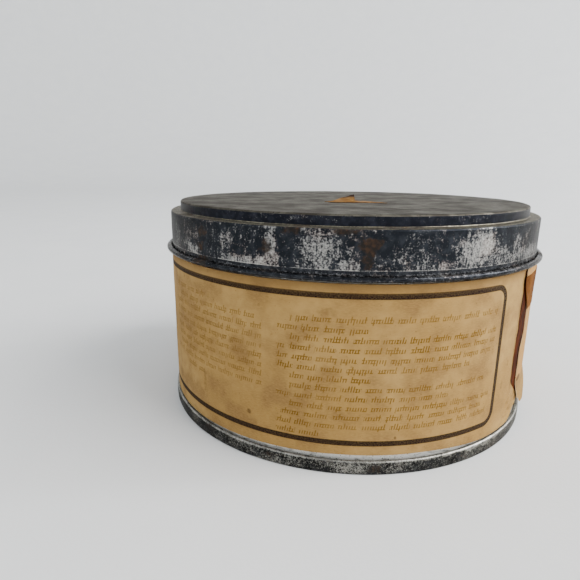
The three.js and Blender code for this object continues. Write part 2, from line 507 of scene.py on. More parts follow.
@dataclass(frozen=True)
class WornTinplate:
    """Dip-tinned and rolled steel sheet, grown a dark oxide skin and rubbed back to bright metal.

    The eye sees a dark blue-grey sheen, ragged peppered patches of pale metal, and brown rust
    where the tin has worn through.
    """

    name: str
    dark: str = "#1c1f24"
    hazy: str = "#2e3136"
    grey: str = "#5a595a"
    bare: str = "#b7b5af"
    blush: str = "#6f6561"  # pinkish tint of some of the bare metal
    wear: float = 0.0  # bare metal outside the patches
    streaks: float = 0.8  # upright rub marks
    grain: float = 1.0  # size of the finest marks
    rust: float = 0.0  # rust outside the spots
    roughness: float = 0.42
    bare_roughness: float = 0.36
    metallic: float = 0.9
    worn_patches: tuple[Patch, ...] = ()
    rust_spots: tuple[Patch, ...] = ()
    edges: tuple[tuple[float, float], ...] = ()  # heights of pale edge lines, partly rubbed wear and partly painted highlight, and how hard
    radius: float = 53.8

    def make(self) -> bpy.types.Material:
        """The material."""
        recipe = Recipe(self.name)
        add = recipe.add
        side = recipe.round_place(self.radius)
        scale = math.radians(self.radius)
        clouds = Grain(5.0, detail=3, shift=3.1).value(recipe)
        rubs = Grain(0.6, stretch=(1, 1, 6), detail=2, shift=7.7).value(recipe)
        crumbs = Grain(1.0 * self.grain, detail=4, shift=11.3).value(recipe)
        pits = Grain(0.36 * self.grain, detail=2, shift=5.9).value(recipe)
        sway = add("TexNoise", {"Vector": side, "Scale": 0.5, "Detail": 3.0}, out=1)
        swayed = add("VectorMath", {0: sway, 1: (5, 4, 0), 2: side}, operation="MULTIPLY_ADD")
        centred = add("VectorMath", {0: swayed, 1: (-2.5, -2.0, 0)}, operation="ADD")
        worn = patch_mask(recipe, centred, self.worn_patches, scale)
        level = recipe.total(
            [(worn, 0.5), (clouds, 0.7), (rubs, self.streaks), (crumbs, 1.0), (pits, 1.4)],
            self.wear - (0.7 + self.streaks + 1.0 + 1.4) / 2,
        )
        height_here = add("SeparateXYZ", {0: recipe.place}, out=2)
        # Pale lines at the listed edge heights: partly rubbed wear, partly painted highlight on rounded
        # edges.
        for edge, force in self.edges:
            off = add("Math", {0: height_here, 1: edge}, operation="SUBTRACT")
            reach = add("Math", {0: off}, operation="ABSOLUTE")
            near = add("MapRange", {0: reach, 1: 0.34, 2: 0.1, 4: force})
            level = add("Math", {0: near, 1: level}, operation="ADD")
        bare = add("MapRange", {0: level, 1: 0.1, 2: 0.52}, interpolation_type="SMOOTHSTEP")
        shiny = add("MapRange", {0: level, 1: 0.25, 2: 1.05})
        haze = Grain(1.6, detail=4, shift=1.3).cut(recipe, 0.42, 0.72)
        blushing = Grain(6, detail=2, shift=9.1).cut(recipe, 0.48, 0.62)
        pale = recipe.coats(linear(self.grey), [(self.blush, blushing), (self.bare, shiny)])
        skin = recipe.coats(linear(self.dark), [(self.hazy, haze)])
        metal = add("Mix", {0: bare, 6: skin, 7: pale}, out=2, data_type="RGBA")
        spots = patch_mask(recipe, centred, self.rust_spots, scale)
        rust_level = recipe.total([(spots, 1.0), (crumbs, 1.1), (pits, 0.5)], self.rust - 0.8)
        rusty = add(
            "MapRange", {0: rust_level, 1: 0.2, 2: 0.8, 4: 0.92}, interpolation_type="SMOOTHSTEP"
        )
        ochre = Grain(1.1, detail=3, shift=2.9).cut(recipe, 0.45, 0.68)
        rust_tone = recipe.coats(linear("#130a04"), [("#35200b", ochre)])
        colour = add("Mix", {0: rusty, 6: metal, 7: rust_tone}, out=2, data_type="RGBA")
        polished = recipe.total(
            [(bare, self.bare_roughness - self.roughness), (crumbs, 0.2)], self.roughness - 0.1
        )
        rough = add("Mix", {0: rusty, 2: polished, 3: 0.8})
        metallic = recipe.total([(rusty, -self.metallic)], self.metallic)
        height = recipe.total([(bare, 0.35), (pits, 0.5), (crumbs, 0.4), (rusty, 0.5)])
        return recipe.surface(
            height,
            0.035,
            {"Base Color": colour, "Roughness": rough, "Metallic": metallic,
             "Specular Tint": linear("#c6c4c1")},
        )


@dataclass(frozen=True)
class ScuffedTop:
    """Flat tinplate of the lid's raised panel, stacked and slid on for years.

    The eye sees a matt grey-brown film with fine straight scratches, wiped streaks and stains.
    """

    name: str = "scuffed tinplate, lid top"
    film: str = "#46433c"
    cloud: str = "#5f5b52"
    stain: str = "#2a2118"
    scratch: str = "#b9b7b0"
    stains: tuple[Patch, ...] = ()

    def make(self) -> bpy.types.Material:
        """The material."""
        recipe = Recipe(self.name)
        wiped = Grain(1.7, stretch=(2.2, 1, 1), detail=4, shift=4.2).cut(recipe, 0.38, 0.66)
        dull = Grain(9, detail=4, shift=8.4).cut(recipe, 0.42, 0.62)
        specks = Grain(0.45, detail=2, shift=6.6).cut(recipe, 0.58, 0.68)
        marks = patch_mask(recipe, recipe.place, self.stains)
        ragged = recipe.total([(marks, 1.0), (Grain(1.8, detail=4).value(recipe), 1.2)], -0.6)
        stained = recipe.add("MapRange", {0: ragged, 1: 0.35, 2: 0.7})
        scratches: Socket | float = 0.0
        for turn, shift in ((0.35, 1.0), (1.15, 5.0), (-0.6, 9.0)):
            turned_place = recipe.add(
                "VectorRotate", {"Vector": recipe.place, "Angle": turn}, rotation_type="Z_AXIS"
            )
            line = Grain(0.3, stretch=(90, 1, 1), detail=2, shift=shift).cut(
                recipe, 0.74, 0.79, turned_place
            )
            scratches = recipe.add("Math", {0: line, 1: scratches}, operation="MAXIMUM")
        colour = recipe.coats(
            linear(self.film),
            [(self.cloud, wiped), ("#38342e", dull), ("#221e1a", specks), (self.stain, stained),
             (self.scratch, recipe.total([(scratches, 0.4)]))],
        )
        rough = recipe.total([(wiped, -0.1), (dull, 0.08), (stained, 0.15)], 0.56)
        height = recipe.total([(wiped, 0.3), (specks, 0.4), (scratches, -0.8)])
        return recipe.surface(
            height,
            0.02,
            {"Base Color": colour, "Roughness": rough, "Metallic": 0.6,
             "Specular Tint": linear("#a8a49c")},
        )


@dataclass(frozen=True)
class BrightTinplate:
    """Electrolytic tinplate kept from the air by the label or the lid.

    The eye sees soft silver with the fine upright lines of the rolling mill and grey bruises.
    """

    name: str = "bright rolled tinplate"
    silver: str = "#c4c2bb"
    bruise: str = "#8f8b82"

    def make(self) -> bpy.types.Material:
        """The material."""
        recipe = Recipe(self.name)
        mill = Grain(0.22, stretch=(1, 1, 40), detail=2).value(recipe)
        bruised = Grain(5, detail=4, shift=2.0).cut(recipe, 0.45, 0.7)
        tarnish = Grain(1.1, detail=3, shift=6.0).cut(recipe, 0.6, 0.7)
        colour = recipe.coats(
            linear(self.silver), [(self.bruise, bruised), ("#6e665a", tarnish)]
        )
        rough = recipe.total([(bruised, 0.14), (mill, 0.12)], 0.22)
        return recipe.surface(
            mill, 0.006, {"Base Color": colour, "Roughness": rough, "Metallic": 1.0}
        )


@dataclass(frozen=True)
class FloorReflectionTinplate:
    """Bare tinplate above the seam, painted a pale dull white that stands in for its reflection of the bright
    floor.

    The eye sees a dull silvery white with grey smears and black specks.
    """

    name: str = "floor_reflection_painted tinplate, above the seam"
    white: str = "#d4d2cc"
    smear: str = "#8a8983"
    speck: str = "#2a2926"

    def make(self) -> bpy.types.Material:
        """The material."""
        recipe = Recipe(self.name)
        smears = Grain(2.4, stretch=(1, 1, 0.25), detail=4, shift=3.0).cut(recipe, 0.46, 0.7)
        specks = Grain(0.35, detail=3, shift=7.0).cut(recipe, 0.62, 0.68)
        colour = recipe.coats(linear(self.white), [(self.smear, smears), (self.speck, specks)])
        rough = recipe.total([(smears, 0.1)], 0.55)
        return recipe.surface(
            specks, 0.01, {"Base Color": colour, "Roughness": rough, "Metallic": 0.35}
        )


@dataclass(frozen=True)
class GreekedText:
    """A block of small print drawn as generic slanted strokes that form no letters.

    Lengths are in millimetres on the flat label.
    """

    left: float
    width: float
    top: float
    lines: tuple[tuple[float, float], ...]  # share of the width where each line starts and ends
    pitch: float = 2.3
    stroke: float = 0.6  # from one upright stroke to the next
    fade: float = 1.0
    seed: float = 0.0

    def mask(self, recipe: Recipe, across: Socket, up: Socket) -> Socket:
        """Where the block's strokes are, from 0 to 1.

        Args:
            recipe: the material.
            across: place along the label, measured from the middle of the printed frame.
            up: height on the tin.

        Returns:
            The mask.
        """
        add = recipe.add
        count = len(self.lines)
        down = recipe.total([(up, -1 / self.pitch)], self.top / self.pitch)
        row = add("Math", {0: down}, operation="FLOOR")
        within = add("Math", {0: down}, operation="FRACT")
        share = recipe.total([(across, 1 / self.width)], -self.left / self.width)
        ends = add(
            "ValToRGB",
            {0: recipe.total([(row, 1 / count)], 0.5 / count)},
            stops=[(i / count, (start, end, 1.0)) for i, (start, end) in enumerate(self.lines)],
        )
        start_end = add("SeparateColor", {0: ends}).node
        begun = add("Math", {0: share, 1: start_end.outputs[0]}, operation="GREATER_THAN")
        not_ended = add("Math", {0: share, 1: start_end.outputs[1]}, operation="LESS_THAN")
        above = add("Math", {0: down, 1: 0.0}, operation="GREATER_THAN")
        below = add("Math", {0: down, 1: float(count)}, operation="LESS_THAN")
        slanted = recipe.total([(within, 0.45), (across, 1.0)], self.seed)
        cells = recipe.total([(slanted, 1 / self.stroke)])
        cell = add("Math", {0: cells}, operation="FLOOR")
        chance = add("TexWhiteNoise", {"Vector": add("CombineXYZ", {0: cell, 1: row})}, out=1)
        odds = add("SeparateColor", {0: chance}).node
        off_stem = add("Math", {0: recipe.total([(cells, 1.0), (cell, -1.0)], -0.5)}, operation="ABSOLUTE")
        stem = add("MapRange", {0: off_stem, 1: 0.3, 2: 0.16})
        tall = add("Math", {0: odds.outputs[0], 1: 0.8}, operation="GREATER_THAN")
        tail = add("Math", {0: odds.outputs[0], 1: 0.08}, operation="LESS_THAN")
        head = recipe.total([(tall, -0.24), (within, -1.0)], 0.36)
        foot = recipe.total([(tail, -0.2), (within, 1.0)], -0.76)
        off_line = add("Math", {0: head, 1: foot}, operation="MAXIMUM")
        upright = add("MapRange", {0: off_line, 1: 0.04, 2: -0.04})
        strokes = add("Math", {0: stem, 1: upright}, operation="MULTIPLY")
        for level, luck in ((0.4, odds.outputs[1]), (0.72, odds.outputs[2])):
            off = add("Math", {0: within, 1: level}, operation="SUBTRACT")
            bar = add("MapRange", {0: add("Math", {0: off}, operation="ABSOLUTE"), 1: 0.08, 2: 0.03})
            joined = add("Math", {0: luck, 1: 0.52}, operation="GREATER_THAN")
            link = add("Math", {0: bar, 1: joined}, operation="MULTIPLY")
            strokes = add("Math", {0: link, 1: strokes}, operation="MAXIMUM")
        spot = recipe.total([(slanted, 1 / 5.6), (row, 3.71)], self.seed)
        gap = add(
            "TexVoronoi",
            {"W": spot, "Scale": 1.0, "Randomness": 0.8},
            voronoi_dimensions="1D",
            feature="DISTANCE_TO_EDGE",
        )
        word = add("MapRange", {0: gap, 1: 0.07, 2: 0.1})
        ink = strokes
        for part in (begun, not_ended, above, below, word):
            ink = add("Math", {0: ink, 1: part}, operation="MULTIPLY")
        return recipe.total([(ink, self.fade)])


@dataclass(frozen=True)
class PrintedFrame:
    """A plain rounded rectangle drawn in one line."""

    half_width: float
    middle: float  # height of its centre on the tin
    half_height: float
    corner: float = 3.2
    line: float = 1.35

    def mask(self, recipe: Recipe, across: Socket, up: Socket) -> Socket:
        """Where the line is, from 0 to 1."""
        add = recipe.add
        place = add("CombineXYZ", {0: across, 1: recipe.total([(up, 1.0)], -self.middle)})
        folded = add("VectorMath", {0: place}, operation="ABSOLUTE")
        straight = (self.half_width - self.corner, self.half_height - self.corner, 0)
        past = add("VectorMath", {0: folded, 1: straight}, operation="SUBTRACT")
        outside = add("VectorMath", {0: past, 1: (0, 0, 0)}, operation="MAXIMUM")
        reach = add("VectorMath", {0: outside}, out=1, operation="LENGTH")
        sides = add("SeparateXYZ", {0: past}).node
        widest = add("Math", {0: sides.outputs[0], 1: sides.outputs[1]}, operation="MAXIMUM")
        inside = add("Math", {0: widest, 1: 0.0}, operation="MINIMUM")
        edge = recipe.total([(reach, 1.0), (inside, 1.0)], -self.corner)
        distance = add("Math", {0: edge}, operation="ABSOLUTE")
        half = self.line / 2
        return add("MapRange", {0: distance, 1: half + 0.06, 2: half - 0.06})


@dataclass(frozen=True)
class PrintedPaper:
    """Uncoated wood-pulp label paper, offset printed and browned with age.

    The eye sees a warm tan sheet with brown clouds, small spots and fibres, a dark brown line
    and faded olive-gold print. Painted shade darkens its top under the lid's rolled edge, and
    dark lines of painted shade follow a fold and some wrinkles.
    """

    period: float  # length of label that one printed panel takes
    frame_line: PrintedFrame
    texts: tuple[GreekedText, ...]
    centre: float  # place of the front panel's middle
    # stains, and dark lines of painted shade in the paper's fold and wrinkles
    spots: tuple[Patch, ...] = ()
    name: str = "aged printed label paper"
    paper: str = "#9a7841"
    light: str = "#aa8850"
    cloud: str = "#7b5d35"
    spot: str = "#4a3014"
    line_ink: str = "#190b05"
    text_ink: str = "#694a08"
    bare_margin: str = "#ad8146"

    def make(self) -> bpy.types.Material:
        """The material."""
        recipe = Recipe(self.name)
        add = recipe.add
        flat = add("Attribute", {}, out="Vector", attribute_name=PRINT_PLACE)
        parts = add("SeparateXYZ", {0: flat}).node
        along, up, lap = parts.outputs[0], parts.outputs[1], parts.outputs[2]
        half = self.period / 2
        from_middle = recipe.total([(along, 1.0)], -self.centre)
        across = add("Math", {0: from_middle, 1: half, 2: -half}, operation="WRAP")
        sheet = add("CombineXYZ", {0: along, 1: up})
        clouds = Grain(8, detail=5, shift=2.2).cut(recipe, 0.44, 0.68, sheet)
        warm = Grain(24, detail=3, shift=6.1).cut(recipe, 0.4, 0.62, sheet)
        mottle = Grain(2.4, detail=4, shift=3.3).value(recipe, sheet)
        fibres = Grain(0.28, stretch=(3, 1, 1), detail=3).value(recipe, sheet)
        foxing = Grain(3.1, detail=3, shift=14.0).cut(recipe, 0.68, 0.76, sheet)
        flecks = Grain(0.5, detail=1, shift=18.0).cut(recipe, 0.72, 0.76, sheet)
        toned = recipe.coats(
            linear(self.paper),
            [(self.light, warm),
             (self.cloud, recipe.total([(clouds, 0.8)])),
             (self.cloud, recipe.total([(mottle, 1.2)], -0.42)),
             (self.light, recipe.total([(fibres, 1.4)], -0.55)),
             (self.spot, recipe.total([(foxing, 0.3)])),
             (self.spot, recipe.total([(flecks, 0.5)]))],
        )
        texts: Socket | float = 0.0
        for text in self.texts:
            texts = add(
                "Math", {0: text.mask(recipe, across, up), 1: texts}, operation="MAXIMUM"
            )
        fading = Grain(7, detail=3, shift=21.0).value(recipe, sheet)
        ink = recipe.total([(fading, 1.1)], 0.25)
        faded = add("Math", {0: texts, 1: ink}, operation="MULTIPLY")
        worn_ink = recipe.total([(Grain(0.35, detail=2).value(recipe, sheet), 0.5)], 0.68)
        line = add(
            "Math", {0: self.frame_line.mask(recipe, across, up), 1: worn_ink}, operation="MULTIPLY"
        )
        marks = patch_mask(recipe, sheet, self.spots)
        # Mask of the stains and of the painted shade lines in the fold and wrinkles.
        stains_and_crease_shade = recipe.total([(marks, 1.0), (Grain(0.8, detail=3).value(recipe, sheet), 0.6)], -0.3)
        # Painted shade: the label darkens towards its top, under the lid's rolled edge.
        under_curl_shade = add("MapRange", {0: up, 1: 42.6, 2: 45.2})
        torn = recipe.total([(Grain(2.6, detail=5).value(recipe, sheet), 1.6), (lap, 1.0)], -0.8)
        skinned = add("MapRange", {0: torn, 1: 0.42, 2: 0.5, 4: 0.92})
        colour = recipe.coats(
            toned,
            [(self.text_ink, faded), (self.line_ink, line),
             (self.cloud, recipe.total([(under_curl_shade, 0.9)])),
             (self.bare_margin, skinned),
             (self.spot, add("MapRange", {0: stains_and_crease_shade, 1: 0.3, 2: 1.0, 4: 0.8}))],
        )
        height = recipe.total([(fibres, 0.3), (mottle, 0.7)])
        return recipe.surface(
            height,
            0.05,
            {"Base Color": colour, "Roughness": 0.85, "Specular IOR Level": 0.15, "IOR": 1.5},
        )


@dataclass(frozen=True)
class RawPaper:
    """Torn or unprinted wood-pulp paper. The eye sees pale, soft, fuzzy fibres."""

    name: str = "raw wood-pulp paper"
    pale: str = "#e0c29a"
    dark: str = "#b88f5c"

    def make(self) -> bpy.types.Material:
        """The material."""
        recipe = Recipe(self.name)
        fuzz = Grain(0.3, detail=3).value(recipe)
        shade = Grain(2.5, detail=3, shift=4).cut(recipe, 0.4, 0.7)
        colour = recipe.coats(
            linear(self.pale), [(self.dark, shade), ("#f0dcc0", recipe.total([(fuzz, 0.9)], -0.3))]
        )
        return recipe.surface(fuzz, 0.05, {"Base Color": colour, "Roughness": 0.9})


@dataclass(frozen=True)
class AgedResin:
    """An old clear film gone amber or brown: dried glue, or cellophane tape.

    The eye sees a warm translucent depth, a soft gloss and darker dirt marks scattered through it.
    """

    name: str
    body: str
    depth: str
    dirt: str
    roughness: float
    grain: float
    stretch: tuple[float, float, float] = (1.0, 1.0, 1.0)

    def make(self) -> bpy.types.Material:
        """The material."""
        recipe = Recipe(self.name)
        deep = Grain(self.grain, stretch=self.stretch, detail=3).cut(recipe, 0.38, 0.66)
        dirty = Grain(self.grain / 3, stretch=self.stretch, detail=3, shift=5).cut(recipe, 0.56, 0.74)
        colour = recipe.coats(
            linear(self.body), [(self.depth, deep), (self.dirt, recipe.total([(dirty, 0.6)]))]
        )
        rough = recipe.total([(dirty, 0.2)], self.roughness)
        height = recipe.total([(deep, 0.6), (dirty, 0.4)])
        return recipe.surface(
            height,
            0.04,
            {"Base Color": colour, "Roughness": rough, "IOR": 1.48, "Specular IOR Level": 0.08},
        )


@dataclass(frozen=True)
class TornScrap:
    """Gummed paper, glue-soaked amber, with a pink fibrous tail, a scorched-brown corner and a painted shadow
    along its front edge.
    """

    name: str = "torn gummed paper"
    amber: str = "#6c4818"
    pink: str = "#80603e"
    brown: str = "#2a1608"

    def make(self) -> bpy.types.Material:
        """The material."""
        recipe = Recipe(self.name)
        add = recipe.add
        parts = add("SeparateXYZ", {0: recipe.place}).node
        mottle = Grain(0.9, detail=4).value(recipe)
        tail = add("MapRange", {0: recipe.total([(parts.outputs[0], 1.0), (mottle, 3.0)]), 1: 2.6, 2: 4.6})
        corner = add(
            "MapRange",
            {0: recipe.total([(parts.outputs[1], 1.0), (parts.outputs[0], 0.35), (mottle, 3.0)]),
             1: -10.9, 2: -9.2},
        )
        # Painted shadow: a dark band along the scrap's front edge, where it lies on the lid.
        front_edge_shadow = add("MapRange", {0: recipe.total([(parts.outputs[1], 1.0), (mottle, 0.8)]), 1: -16.7, 2: -17.1})
        colour = recipe.coats(
            linear(self.amber),
            [("#8a6530", Grain(1.6, detail=3, shift=3).cut(recipe, 0.46, 0.7)), (self.pink, tail),
             (self.brown, corner), (self.brown, recipe.total([(front_edge_shadow, 0.8)]))],
        )
        return recipe.surface(
            mottle, 0.06, {"Base Color": colour, "Roughness": 0.85, "Specular IOR Level": 0.15}
        )


@dataclass(frozen=True)
class SealingCompound:
    """Lining compound, a filled rubber flowed into the seam. The eye sees dull grey-brown."""

    name: str = "flowed-in sealing compound"

    def make(self) -> bpy.types.Material:
        """The material."""
        recipe = Recipe(self.name)
        grit = Grain(0.3, detail=3).value(recipe)
        colour = recipe.coats(linear("#6a6254"), [("#8b8371", Grain(2, detail=3).cut(recipe, 0.4, 0.6))])
        return recipe.surface(grit, 0.03, {"Base Color": colour, "Roughness": 0.8})


# ---- Lid ----


class LidZone(IntEnum):
    """Material places on the lid."""

    PANEL = 0
    STEP = 1
    LEDGE = 2
    SKIRT = 3
    CURL = 4
    INSIDE = 5


@dataclass
class SlipLid:
    """Drawn slip lid: raised panel, ledge, skirt and outward-rolled edge."""

    sizes: TinSizes
    corner: float = 0.55  # outer radius of the drawn corners
    curl_reach: float = 1.55
    curl_height: float = 1.36
    steps: int = 288

    def outline(self) -> list[Vector]:
        """Both faces of the lid's sheet in the (radius, height) plane."""
        s = self.sizes
        bow = self.corner - s.sheet / 2
        skirt = s.skirt_radius - s.sheet / 2
        step = s.panel_radius - s.sheet / 2
        roll = (self.curl_reach / 2, (self.curl_height - s.sheet) / 2)
        middle = [
            Vector((0, s.panel_height - s.sheet / 2)),
            *bend(
                (s.panel_radius - self.corner, s.panel_height - self.corner), (bow, bow), 90, 0
            ),
            *bend((step + bow, s.ledge_height - s.sheet / 2 + bow), (bow, bow), 180, 270),
            *bend(
                (s.skirt_radius - self.corner, s.ledge_height - self.corner), (bow, bow), 90, 0
            ),
            *bend((skirt + roll[0], s.curl_foot + self.curl_height / 2), roll, 180, 470, 20),
        ]
        return sheet_outline(even_steps(middle, 1.8), s.sheet)

    def dented(self, point: Vector) -> Vector:
        """Where a point ends up after years of handling."""
        radius = math.hypot(point.x, point.y)
        flat = 1 - ease(46, 50, radius)
        side = ease(52.6, 53.5, radius)
        sag = 0.10 * flat * (uneven(point.x, point.y, 0, 24, 3.1) - 1)
        ledge = 0.05 * (1 - flat) * uneven(point.x, point.y, 0, 8, 5.2)
        push = 0.045 * side * uneven(point.x, point.y, point.z * 2, 13, 8.4)
        scale = 1 + push / max(radius, 1)
        return Vector((point.x * scale, point.y * scale, point.z + sag + ledge - 0.03))

    def zone(self, face: bmesh.types.BMFace) -> LidZone:
        """The part of the lid that a face belongs to."""
        s = self.sizes
        centre = face.calc_center_median()
        radius = math.hypot(centre.x, centre.y)
        out, up = outward(face)
        if centre.z < s.curl_foot + self.curl_height + 0.15 and radius > s.skirt_radius - 0.05:
            return LidZone.CURL
        if out + up < 0:
            return LidZone.INSIDE
        if radius > s.skirt_radius - self.corner * 0.55:
            return LidZone.SKIRT
        if centre.z > s.panel_height - 0.35:
            return LidZone.PANEL
        return LidZone.STEP if centre.z > s.ledge_height + 0.25 else LidZone.LEDGE

    def finishes(self) -> list[bpy.types.Material]:
        """Materials in the order of LidZone."""
        panel = ScuffedTop(
            stains=(
                Patch(-22, -38, 10, 3, 0.7),
                Patch(16, -31, 8, 3, 0.8),
                Patch(30, -10, 9, 5, 0.5),
                Patch(-12, 6, 14, 8, 0.5),
                Patch(4, 30, 12, 9, 0.6),
                Patch(-34, 14, 7, 10, 0.5),
            )
        )
        step = WornTinplate(
            "oxidised tinplate, lid step", dark="#1a1c23", hazy="#2a2c34", wear=-0.14,
            streaks=0.1, grain=0.6, roughness=0.36,
            worn_patches=(Patch(-12, 58.3, 10, 0.7, 0.5), Patch(30, 58.3, 9, 0.6, 0.4)),
            # Pale line along the step's top edge: partly rubbed wear, partly painted highlight.
            edges=((59.15, 0.1),),
        )
        ledge = WornTinplate(
            "oxidised tinplate, lid ledge", dark="#57524a", hazy="#78725f", grey="#86816f",
            bare="#8f8a80", blush="#6e6353", wear=0.26, streaks=0.1, rust=0.0, roughness=0.5,
            rust_spots=(
                Patch(-11, 56.7, 3.2, 3, 0.6), Patch(13, 56.7, 6, 3, 0.55),
                Patch(-52, 56.7, 4, 3, 0.5), Patch(120, 56.7, 6, 3, 0.5),
            ),
        )
        skirt = WornTinplate(
            "oxidised tinplate, lid skirt",
            worn_patches=(
                Patch(-44.5, 48.8, 3.2, 1.6, 1.0), Patch(-55, 50, 2.5, 5, 0.5),
                Patch(-47, 52, 2.5, 2.5, 0.5), Patch(-31, 52.5, 2.0, 2.5, 0.6),
                Patch(-24, 48.3, 8.5, 1.5, 1.0), Patch(-17.5, 52, 2, 5, 0.9),
                Patch(-6, 52, 4.6, 5, 0.85), Patch(0.5, 48.8, 3.5, 2.4, 0.6),
                Patch(13, 49.8, 8.5, 2.8, 0.42), Patch(31.5, 52.2, 5.6, 3.8, 1.2),
                Patch(40, 49.8, 6, 2.4, 0.8), Patch(54, 49.3, 15, 1.7, 0.8),
                Patch(46, 52, 2.5, 2.5, 0.5), Patch(60, 53, 2.5, 4, 0.3),
                Patch(6, 49.0, 52, 1.9, 0.4), Patch(96, 50, 12, 4, 0.8), Patch(135, 52, 9, 4, 0.9),
                Patch(171, 48.5, 14, 2, 0.9), Patch(-160, 52, 7, 4, 0.9),
                Patch(-130, 50, 12, 3, 0.7), Patch(-95, 51, 10, 3, 0.9),
            ),
            rust_spots=(
                Patch(-39.6, 53.8, 1.7, 1.3, 0.8), Patch(-40.8, 50.1, 1.5, 1.2, 0.8),
                Patch(-18.9, 52.2, 1.5, 1.4, 0.8), Patch(-12.3, 56.0, 2.2, 0.9, 0.8),
                Patch(0.6, 56.3, 3.6, 0.8, 0.8), Patch(5.0, 53.3, 2.4, 2.0, 1.0),
                Patch(4.4, 50.0, 1.4, 2.2, 0.7), Patch(88, 54, 3, 2, 0.9),
                Patch(150, 48.5, 4, 1.5, 0.8), Patch(-112, 54, 3, 1.6, 0.9),
            ),
            # 47.85 is a painted highlight line where the skirt flares into the rolled edge; 56.35 along the
            # top corner is partly rubbed wear, partly painted highlight.
            edges=((47.85, 0.5), (56.35, 0.1)),
        )
        curl = WornTinplate(
            "oxidised tinplate, rolled edge", dark="#202226", hazy="#3a3c40", grey="#66666a",
            bare="#8f8f8e", wear=-0.02, streaks=0.0, roughness=0.27, bare_roughness=0.26,
            # Painted highlight along the top of the rolled edge.
            edges=((47.05, 0.3),),
            rust_spots=(Patch(-39, 46.6, 3, 2, 0.9), Patch(70, 46.6, 3, 2, 0.7),
                        Patch(-150, 46.6, 5, 2, 0.8)),
        )
        inside = BrightTinplate("bright tinplate, inside the lid")
        return [each.make() for each in (panel, step, ledge, skirt, curl, inside)]

    def build(self) -> bpy.types.Object:
        """The lid as one piece."""
        bm = turned(self.outline(), self.steps)
        for face in bm.faces:
            face.material_index = self.zone(face)
        for vert in bm.verts:
            vert.co = self.dented(vert.co)
        return finish_piece(bm, "lid_shell", Body.LID, Slot.LID, self.finishes(), ["lid"])


@dataclass
class LidScrap:
    """Scrap of gummed paper stuck on the lid: a wide piece with a raised corner, and a tail."""

    sizes: TinSizes
    left: float = -6.6
    wide_end: float = 1.6
    tail_end: float = 10.6
    front: float = -17.5
    back: float = -9.5
    lift: float = 1.75
    thickness: float = 0.14

    def place(self, across: float, up: float) -> Vector:
        """A point of the scrap, from its left tip to its tail and from its front edge back."""
        x = self.left + (self.tail_end - self.left) * across
        ragged = 0.35 * uneven(x, 0, 0, 1.1, 2.7)
        near = self.front + 1.6 * (1 - ease(self.left, self.left + 2.2, x)) + ragged * 0.4
        wide = self.back - 1.4 * (1 - ease(self.left + 3, self.wide_end, x))
        opened = ease(self.left - 0.6, self.left + 5.2, x)
        tail = self.front + 1.6 * (1 - ease(self.wide_end, self.tail_end + 1.2, x)) + 0.25
        far = near + (wide - near) * opened if x < self.wide_end else tail
        y = near + (far + ragged - near) * up
        along = min(max((x - self.left) / (self.wide_end - self.left), 0.0), 1.0)
        deep = (y - self.front) / (self.back - self.front)
        curl = self.lift * along * deep + 0.12 * uneven(x, y, 0, 2.2, 5.5) * deep
        return Vector((x, y, self.sizes.panel_height + 0.12 + max(curl, 0.0)))

    def build(self) -> bpy.types.Object:
        """The scrap as one piece."""
        bm = thin_sheet((70, 26), self.place, self.thickness)
        for face in bm.faces:
            face.material_index = 0
        return finish_piece(
            bm, "torn_paper_scrap", Body.LID, Slot.SCRAP, [TornScrap().make()], ["lid_scrap"], 60
        )


# ---- Tin ----


